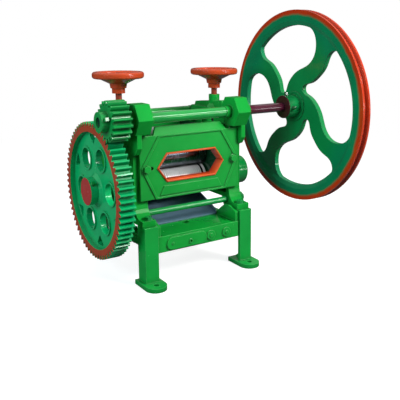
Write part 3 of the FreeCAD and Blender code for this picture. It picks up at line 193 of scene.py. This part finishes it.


# Flywheel: one casting, set on the drive shaft with screws. Green enamel on its arms and hub, with a
# painted cool reflection that makes it bluer towards the rim, red on the rim itself, and a maroon inner
# end on the hub.
def make_ring_group():
    """A mask for what lies at least so far from a line along X, and one for left of a plane."""
    blotch_scale = 30.0
    tree = bpy.data.node_groups.new("ring_mask", "ShaderNodeTree")
    add_sockets(tree, dict.fromkeys(("Line Y", "Line Z", "Radius", "Blend", "Plane X"), "Float"),
                {"Outside": "Float", "Left": "Float"})
    new, link = tree.nodes.new, tree.links.new
    given, result = new("NodeGroupInput"), new("NodeGroupOutput")
    place, parts, flat = (new(kind) for kind in (
        "ShaderNodeTexCoord", "ShaderNodeSeparateXYZ", "ShaderNodeCombineXYZ"))
    link(place.outputs["Object"], parts.inputs["Vector"])
    for axis in ("Y", "Z"):
        away = add_sum(tree, "SUBTRACT", parts.outputs[axis], given.outputs["Line " + axis])
        link(away, flat.inputs[axis])
    far = add_sum(tree, "LENGTH", flat.outputs["Vector"], kind="ShaderNodeVectorMath")
    blotch = add_noise(tree, place.outputs["Object"], blotch_scale)
    ragged = add_sum(tree, "MULTIPLY_ADD", blotch, given.outputs["Blend"], far)
    end = add_sum(tree, "ADD", given.outputs["Radius"], given.outputs["Blend"])
    outside = new("ShaderNodeMapRange")
    link(ragged, outside.inputs["Value"])
    link(given.outputs["Radius"], outside.inputs["From Min"])
    link(end, outside.inputs["From Max"])
    link(outside.outputs["Result"], result.inputs["Outside"])
    left = add_sum(tree, "LESS_THAN", parts.outputs["X"], given.outputs["Plane X"])
    link(left, result.inputs["Left"])
    return tree


ring_group = make_ring_group()
past_all = 1.0  # metres: farther out than any piece


def mask_ring(material, line, radius=past_all, plane=past_all, inside=False, blend=0.0003):
    """A mask: 1 outside the radius, or inside it where that is asked, and left of the plane."""
    tree = material.node_tree
    ring = tree.nodes.new("ShaderNodeGroup")
    ring.node_tree = ring_group
    for label, value in (("Line Y", line[0]), ("Line Z", line[1]), ("Radius", radius),
                         ("Blend", blend), ("Plane X", plane)):
        ring.inputs[label].default_value = value
    reach = ring.outputs["Outside"]
    if inside:
        reach = add_sum(tree, "SUBTRACT", 1.0, reach)
    return add_sum(tree, "MULTIPLY", reach, ring.outputs["Left"])


drive_line = (-0.106, 0.40905)
cool_reflection_radius, rim_radius = 0.19, 0.2555
hub_radius, hub_inner_end = 0.04, 0.3055
wheel_paint = enamel("flywheel_enamel", (0.004, 0.22, 0.055), skin=0.12, edge=0.0016, coat=0.2)
# Painted reflection: a bluer green outside this radius, for cool light.
wheel_cool_reflection = mask_ring(wheel_paint, drive_line, cool_reflection_radius, blend=0.05)
paint_over(wheel_paint, (0.003, 0.2, 0.075), wheel_cool_reflection)
wheel_red = mask_ring(wheel_paint, drive_line, rim_radius, blend=0.007)
paint_over(wheel_paint, (0.52, 0.035, 0.005), wheel_red)
wheel_hub = mask_ring(wheel_paint, drive_line, hub_radius, hub_inner_end, inside=True)
paint_over(wheel_paint, (0.05, 0.012, 0.012), wheel_hub)
dress(wheel_paint, "flywheel")

# Main gear: cast iron with cut teeth, keyed on the lower roller. Teal-green web and teeth, a
# brick-red band around the outer face of its rim, and a red end on its boss.
gear_line = (0.0, 0.222)
band_radius, band_plane = 0.149, -0.2265
boss_radius, boss_plane = 0.037, -0.2405
gear_paint = enamel("main_gear_enamel", (0.002, 0.4, 0.12), skin=0.1, edge=0.0009)
paint_over(gear_paint, (0.4, 0.045, 0.01), mask_ring(gear_paint, gear_line, band_radius, band_plane))
gear_boss = mask_ring(gear_paint, gear_line, boss_radius, boss_plane, inside=True)
paint_over(gear_paint, (0.42, 0.02, 0.012), gear_boss)
dress(gear_paint, "main_gear")

# Pinion, crown gears and spacer: cast iron with cut teeth, on the shaft and the rollers' ends.
# Green enamel, a little darker than on the castings, also over the gears' set screws.
small_gear_paint = enamel("small_gear_enamel", (0.003, 0.27, 0.05), skin=0.1, edge=0.0008)
dress(small_gear_paint, "drive_pinion", "lower_crown_gear", "upper_crown_gear", "gear_spacer",
      "main_gear_screw", "pinion_screw")

# Hand wheels: cast iron in orange-red enamel, glossy from use, each held on top of its pressure
# screw by a nut.
hand_red = enamel("hand_wheel_enamel", (0.5, 0.055, 0.014), skin=0.1, edge=0.0012)
dress(hand_red, "left_hand_wheel", "right_hand_wheel")

# Pressure screws: steel rods through the caps, down to the bearing blocks. They have a thin coat
# of the hand wheels' red, and are nearly black from the caps down.
screw_red_end, screw_dark_start = 0.43, 0.425
screw_red = enamel("screw_enamel", (0.33, 0.05, 0.03), skin=0.08, edge=0.0005)
paint_over(screw_red, (0.02, 0.022, 0.024), fade_along(screw_red, "Z", screw_red_end, screw_dark_start))
dress(screw_red, "left_pressure_screw", "right_pressure_screw")

# Drive shaft: turned steel that carries the flywheel and the pinion. Maroon near the flywheel,
# green from the right housing to the pinion, and dark on its left end face.
shaft_green_end, shaft_dark_end = 0.17, -0.2405
shaft_paint = enamel("shaft_enamel", (0.1, 0.008, 0.03), skin=0.05, edge=0.0008, coat=1.0)
shaft_green = mask_ring(shaft_paint, drive_line, plane=shaft_green_end, inside=True)
paint_over(shaft_paint, (0.004, 0.3, 0.045), shaft_green)
shaft_dark = mask_ring(shaft_paint, drive_line, plane=shaft_dark_end, inside=True)
paint_over(shaft_paint, (0.008, 0.03, 0.03), shaft_dark)
dress(shaft_paint, "drive_shaft")


# Upper roller: turned from solid steel, with plain journals in the bearing blocks. Dark and
# smooth, with fine rings left by the lathe.
def make_turned_group():
    """Metal turned around a line along X: fine rings, and smears in its colour and gloss."""
    smear_scale, soft_edge, ring_height = 22.0, 0.0006, 0.0004
    tree = bpy.data.node_groups.new("turned_metal", "ShaderNodeTree")
    add_sockets(tree, {"Metal": "Color", "Rings": "Vector"},
                {"Colour": "Color", "Roughness": "Float", "Normal": "Vector"})
    new, link = tree.nodes.new, tree.links.new
    given, result = new("NodeGroupInput"), new("NodeGroupOutput")
    place = new("ShaderNodeTexCoord").outputs["Object"]
    stretched = add_sum(tree, "MULTIPLY", place, given.outputs["Rings"],
                        kind="ShaderNodeVectorMath", result="Vector")
    ring = add_noise(tree, stretched, 1.0, 5.0)
    smear = add_noise(tree, place, smear_scale)
    tone = add_range(tree, smear, 0.0, 1.0, 0.85, 1.15)
    link(shade_by(tree, given.outputs["Metal"], tone), result.inputs["Colour"])
    both = add_sum(tree, "MULTIPLY", ring, smear)
    link(add_range(tree, both, 0.0, 0.5, 0.16, 0.34), result.inputs["Roughness"])
    rounded = new("ShaderNodeBevel")
    rounded.samples = 4
    rounded.inputs["Radius"].default_value = soft_edge
    marks = new("ShaderNodeBump")
    marks.inputs["Strength"].default_value = 0.12
    marks.inputs["Distance"].default_value = ring_height
    link(ring, marks.inputs["Height"])
    link(rounded.outputs["Normal"], marks.inputs["Normal"])
    link(marks.outputs["Normal"], result.inputs["Normal"])
    return tree


def turned_metal(name, metal, rings, metallic=1.0):
    material, shader, effect = start_material(name, turned_group)
    effect.inputs["Metal"].default_value = (*metal, 1.0)
    effect.inputs["Rings"].default_value = rings
    shader.inputs["Metallic"].default_value = metallic
    return material


turned_group = make_turned_group()
roller_steel = turned_metal("roller_steel", (0.17, 0.19, 0.22), (1400.0, 6.0, 6.0))
dress(roller_steel, "upper_roller")

# Lower roller: turned from solid steel with ridges around it, pale on the ridges, with painted
# shade that darkens the grooves. Its shaft's end, in the middle of the main gear, has the gear's red.
ridge_steel, groove_shade = (0.85, 0.86, 0.87), (0.02, 0.022, 0.025)
groove_radius, shaft_end_plane = 0.0334, -0.2385
lower_steel = turned_metal("lower_roller_steel", ridge_steel, (900.0, 6.0, 6.0), 0.35)
# Painted shade: the steel turns dark inside the grooves' radius.
groove_shade_mask = mask_ring(lower_steel, gear_line, groove_radius, inside=True, blend=0.0005)
groove_shaded_metal = add_mix(lower_steel.node_tree, ridge_steel, groove_shade, groove_shade_mask)
lower_steel.node_tree.links.new(groove_shaded_metal, lower_steel.node_tree.nodes["effect"].inputs["Metal"])
dress(lower_steel, "lower_roller")
lower_mesh = nodes_of["lower_roller"].data
lower_mesh.materials.append(gear_paint)
for face in lower_mesh.polygons:
    if face.center.x < shaft_end_plane:
        face.material_index = 1

# Scraper, discharge chute and juice outlet: stainless steel, brushed along its length. The
# chute is bent from sheet and fixed at the exit opening of the rear plate.
sheet_steel = turned_metal("sheet_steel", (0.55, 0.57, 0.58), (8.0, 700.0, 700.0))
dress(sheet_steel, "upper_scraper", "discharge_chute", "juice_outlet")

# Juice sheet: bent steel sheet in blue-grey paint, under the rollers, from where it slopes
# down to the deck.
sheet_blue = enamel("juice_sheet_enamel", (0.13, 0.23, 0.32), skin=0.08, edge=0.0006)
dress(sheet_blue, "juice_sheet")

# Tie rods, their nuts and the frame's bolts: steel under a thin and very glossy coat, a slightly
# darker green than the castings.
rod_green = enamel("fitting_enamel", (0.004, 0.26, 0.05), skin=0.05, edge=0.0006, coat=1.0)
dress(rod_green, "front_tie_rod", "rear_tie_rod", "tie_rod_nuts", "rail_bolts", "stand_bolts",
      "deck_bolts", "cap_screws")

# Guide plates: steel sheet beside the rollers, inside the frames, in a green so dark that it is
# painted shade of the frames' inside.
guide_shade_paint = enamel("guide_plate_enamel", (0.003, 0.035, 0.014), skin=0.06, edge=0.0006)
dress(guide_shade_paint, "left_guide_plate", "right_guide_plate")

# Bearing blocks: machined grey iron, dark with oil, that slide in the frames' slots under the
# pressure screws.
block_iron = turned_metal("block_iron", (0.06, 0.065, 0.07), (160.0, 160.0, 900.0))
dress(block_iron, "left_bearing_block", "right_bearing_block")

# Roller bushes: cast bronze, turned inside and out, and pressed into the frames and the bearing
# blocks.
bronze = turned_metal("bush_bronze", (0.5, 0.33, 0.14), (900.0, 20.0, 20.0))
dress(bronze, "left_lower_bush", "right_lower_bush", "left_upper_bush", "right_upper_bush")

# Flywheel screws, wheel nuts, end keepers and keys: small zinc-plated steel pieces, slightly
# mottled.
zinc = turned_metal("zinc_plate", (0.62, 0.63, 0.62), (90.0, 90.0, 90.0))
dress(zinc, "flywheel_screws", "left_wheel_nut", "right_wheel_nut", "lower_end_keeper",
      "upper_end_keeper", "drive_keys", "lower_roller_keys", "upper_roller_key")

# Floor: white around the object, where it takes a soft shadow, and running out into the white
# background within about two metres. The object sees it as a dark card, so colours stay deep.
floor_reach = 30.0
fade_start, fade_end = 0.7, 2.2
floor_mesh = bpy.data.meshes.new("floor")
floor_mesh.from_pydata([(x * floor_reach, y * floor_reach, 0)
                        for x, y in ((-1, -1), (1, -1), (1, 1), (-1, 1))], [], [(0, 1, 2, 3)])
floor = bpy.data.objects.new("floor", floor_mesh)
bpy.context.scene.collection.objects.link(floor)
floor_paint = bpy.data.materials.new("floor_paint")
floor_paint.use_nodes = True
floor_tree = floor_paint.node_tree
floor_tree.nodes.clear()
floor_place = floor_tree.nodes.new("ShaderNodeTexCoord").outputs["Object"]
floor_away = add_sum(floor_tree, "LENGTH", floor_place, kind="ShaderNodeVectorMath")
fade = add_range(floor_tree, floor_away, fade_start, fade_end)
glow, white = (floor_tree.nodes.new("ShaderNodeEmission") for shade in ("lit", "white"))
glow.inputs["Strength"].default_value = 0.82
white.inputs["Strength"].default_value = 1.0
dull, card = (floor_tree.nodes.new("ShaderNodeBsdfDiffuse") for shade in ("dull", "card"))
dull.inputs["Color"].default_value = (0.36, 0.36, 0.36, 1.0)
card.inputs["Color"].default_value = (0.1, 0.11, 0.12, 1.0)
lit, run_out, floor_seen, floor_ray, floor_out = (floor_tree.nodes.new(kind) for kind in (
    "ShaderNodeAddShader", "ShaderNodeMixShader", "ShaderNodeMixShader", "ShaderNodeLightPath",
    "ShaderNodeOutputMaterial"))
for source, target in (
        (dull.outputs["BSDF"], lit.inputs[0]),
        (glow.outputs["Emission"], lit.inputs[1]),
        (fade, run_out.inputs["Fac"]),
        (lit.outputs["Shader"], run_out.inputs[1]),
        (white.outputs["Emission"], run_out.inputs[2]),
        (floor_ray.outputs["Is Camera Ray"], floor_seen.inputs["Fac"]),
        (card.outputs["BSDF"], floor_seen.inputs[1]),
        (run_out.outputs["Shader"], floor_seen.inputs[2]),
        (floor_seen.outputs["Shader"], floor_out.inputs["Surface"])):
    floor_tree.links.new(source, target)
floor_mesh.materials.append(floor_paint)

# Background: white where the camera looks past everything, a weak cool light on the object,
# and in its glossy paint a sky that is dark at the horizon and pale overhead.
world = bpy.data.worlds.new("studio")
bpy.context.scene.world = world
world.use_nodes = True
sky = world.node_tree
sky.nodes.clear()
seen, soft, shine = (sky.nodes.new("ShaderNodeBackground") for part in ("seen", "soft", "shine"))
soft.inputs["Color"].default_value = (0.78, 0.92, 1.0, 1.0)
soft.inputs["Strength"].default_value = 0.24
seen.inputs["Color"].default_value = (1.0, 1.0, 1.0, 1.0)
shine.inputs["Color"].default_value = (0.95, 1.0, 0.97, 1.0)
toward, height, ray, glossy, choose, sky_out = (sky.nodes.new(kind) for kind in (
    "ShaderNodeTexCoord", "ShaderNodeSeparateXYZ", "ShaderNodeLightPath", "ShaderNodeMixShader",
    "ShaderNodeMixShader", "ShaderNodeOutputWorld"))
sky.links.new(toward.outputs["Generated"], height.inputs["Vector"])
for source, target in (
        (add_range(sky, height.outputs["Z"], 0.1, 0.8, 0.03, 0.7), shine.inputs["Strength"]),
        (ray.outputs["Is Glossy Ray"], glossy.inputs["Fac"]),
        (soft.outputs["Background"], glossy.inputs[1]),
        (shine.outputs["Background"], glossy.inputs[2]),
        (ray.outputs["Is Camera Ray"], choose.inputs["Fac"]),
        (glossy.outputs["Shader"], choose.inputs[1]),
        (seen.outputs["Background"], choose.inputs[2]),
        (choose.outputs["Shader"], sky_out.inputs["Surface"])):
    sky.links.new(source, target)


# Studio lights: a large key over the right front, two strips beside it that draw white lines on
# teeth, beads and rollers, a small light behind the feed plate that shows the rollers, a cool
# fill from the left, and a wide light over the back.
def soft_box(name, place, target, size, power, tint, gloss_only=False):
    light = bpy.data.lights.new(name, "AREA")
    light.shape = "RECTANGLE"
    light.size, light.size_y = size
    light.energy = power
    light.color = tint
    lamp = bpy.data.objects.new(name, light)
    lamp.location = place
    lamp.rotation_euler = (Vector(target) - Vector(place)).to_track_quat("-Z", "Y").to_euler()
    lamp.visible_camera = False
    lamp.visible_glossy = gloss_only
    lamp.visible_diffuse = not gloss_only
    bpy.context.scene.collection.objects.link(lamp)


aim = (0, 0, 0.3)
plain = (1.0, 1.0, 1.0)
soft_box("key_light", (1.15, -1.9, 1.95), aim, (0.9, 0.9), 98.0, (1.0, 0.99, 0.94))
soft_box("strip_light", (1.0, -2.0, 1.45), aim, (1.1, 0.16), 15.0, plain, gloss_only=True)
soft_box("low_strip", (1.5, -2.1, 0.45), aim, (0.9, 0.12), 7.0, plain, gloss_only=True)
soft_box("mouth_light", (-0.02, -0.078, 0.322), (-0.02, -0.03, 0.25), (0.15, 0.012), 0.12, plain)
soft_box("fill_light", (-2.4, -0.7, 1.2), aim, (1.4, 1.4), 56.0, (0.74, 0.94, 1.0))
soft_box("back_light", (0.5, 2.3, 1.9), aim, (2.0, 1.0), 34.0, plain)

# Camera: low at the left front, as the photograph was taken, with its optical centre off
# the middle of the frame.
tilt, heading, roll = math.radians(80.1015), math.radians(-33.9063), math.radians(-0.1817)
camera_data = bpy.data.cameras.new("camera")
camera_data.sensor_width = 36.0
camera_data.lens = 54.694
camera_data.shift_x = -0.05648
camera_data.shift_y = -0.1438
camera_data.clip_end = 100.0
camera = bpy.data.objects.new("camera", camera_data)
turn = Euler((tilt, 0.0, heading), "XYZ").to_matrix() @ Matrix.Rotation(roll, 3, "Z")
camera.matrix_world = Matrix.Translation((-0.78231, -1.42005, 0.60431)) @ turn.to_4x4()
bpy.context.scene.collection.objects.link(camera)
bpy.context.scene.camera = camera
bpy.context.scene.view_settings.view_transform = "Standard"
